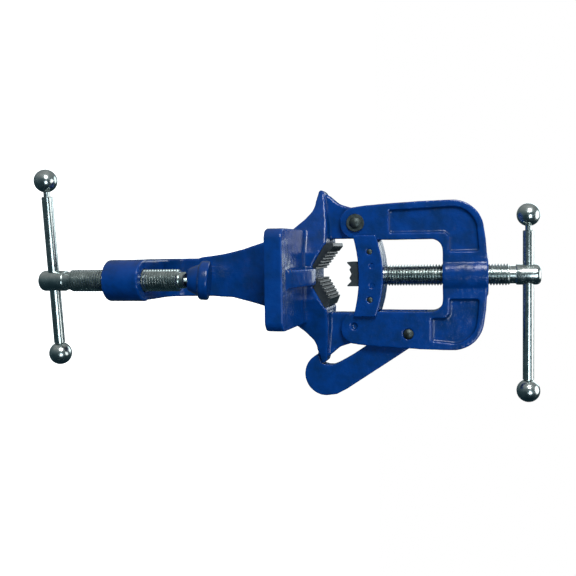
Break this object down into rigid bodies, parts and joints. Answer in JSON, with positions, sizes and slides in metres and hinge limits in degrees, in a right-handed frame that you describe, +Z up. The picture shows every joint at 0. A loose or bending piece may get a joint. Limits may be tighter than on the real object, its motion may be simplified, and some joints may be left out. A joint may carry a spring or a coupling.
{
  "type": "portable clamp-on yoke pipe vise",
  "caption": "Bench-edge clamp-on pipe vise with hinged yoke, swinging latch hook, toothed V jaws, sliding T-bar screws and a swivel clamp pad.",
  "frame": {"origin": "where the clamp screw's axis meets the bench face, on the underside of the clamp plate", "axes": "+Z up along both screws, -Y the open side of the clamp, the yoke's hinge at -X and its hook at +X"},
  "size_m": [0.2085, 0.1371, 0.429],
  "materials": {
    "blue_enamel": "gloss blue enamel over rough sand-cast iron",
    "black_jaw_steel": "black-oxide hardened steel",
    "plain_steel": "plain bright steel",
    "oiled_steel": "dark oiled steel",
    "plated_steel": "bright zinc plate over turned steel"
  },
  "bodies": {
    "base": {"base_frame": "blue_enamel", "lower_jaw_left": "black_jaw_steel", "lower_jaw_right": "black_jaw_steel", "left_jaw_dowels": "plain_steel", "right_jaw_dowels": "plain_steel", "hinge_pin": "plain_steel", "hinge_washer_front": "oiled_steel", "hinge_washer_rear": "oiled_steel"},
    "yoke": {"yoke": "blue_enamel", "hook_pin": "plain_steel"},
    "hook": {"latch_hook": "blue_enamel"},
    "carriage": {"jaw_carriage": "blue_enamel", "guide_plate_front": "blue_enamel", "guide_plate_rear": "blue_enamel", "guide_plate_rivets": "plain_steel", "screw_retaining_pins": "plain_steel", "thrust_disc": "plain_steel", "upper_jaw": "black_jaw_steel"},
    "main_screw": {"main_screw": "plated_steel"},
    "main_bar": {"main_bar": "plated_steel", "main_ball_left": "plated_steel", "main_ball_right": "plated_steel"},
    "pad_pivot": {"thrust_ball": "plain_steel"},
    "clamp_screw": {"clamp_screw": "plated_steel"},
    "clamp_bar": {"clamp_bar": "plated_steel", "clamp_ball_left": "plated_steel", "clamp_ball_right": "plated_steel"},
    "pad": {"clamp_pad": "blue_enamel"}
  },
  "joints": [
    {"name": "yoke_hinge", "type": "hinge", "parent": "base", "child": "yoke", "pos_m": [-0.0475, 0.09, 0.0595], "axis": [0, -1, 0], "range_deg": [0, 95]},
    {"name": "hook_swing", "type": "hinge", "parent": "yoke", "child": "hook", "pos_m": [0.052, 0.09, 0.106], "axis": [0, -1, 0], "range_deg": [0, 62]},
    {"name": "jaw_slide", "type": "slide", "parent": "yoke", "child": "carriage", "axis": [0, 0, 1], "range_m": [-0.009, 0.048]},
    {"name": "main_screw_turn", "type": "hinge", "parent": "carriage", "child": "main_screw", "pos_m": [0, 0.09, 0.14], "axis": [0, 0, 1], "range_deg": [-1280, 6810]},
    {"name": "main_bar_slide", "type": "slide", "parent": "main_screw", "child": "main_bar", "axis": [1, 0, 0], "range_m": [-0.082, 0.032]},
    {"name": "clamp_slide", "type": "slide", "parent": "base", "child": "pad_pivot", "axis": [0, 0, 1], "range_m": [-0.036, 0.037]},
    {"name": "clamp_screw_turn", "type": "hinge", "parent": "pad_pivot", "child": "clamp_screw", "pos_m": [0, 0, -0.12], "axis": [0, 0, 1], "range_deg": [-5110, 5250]},
    {"name": "clamp_bar_slide", "type": "slide", "parent": "clamp_screw", "child": "clamp_bar", "axis": [0.9945, 0.1045, 0], "range_m": [-0.045, 0.069]},
    {"name": "pad_swivel", "type": "hinge", "parent": "pad_pivot", "child": "pad", "pos_m": [0, 0, -0.0605], "axis": [0, 1, 0], "range_deg": [-11, 1.5]}
  ],
  "couplings": [
    {"joint": "main_screw_turn", "follows": "jaw_slide", "rad_per_m": 2473.7},
    {"joint": "clamp_screw_turn", "follows": "clamp_slide", "rad_per_m": 2473.7}
  ]
}
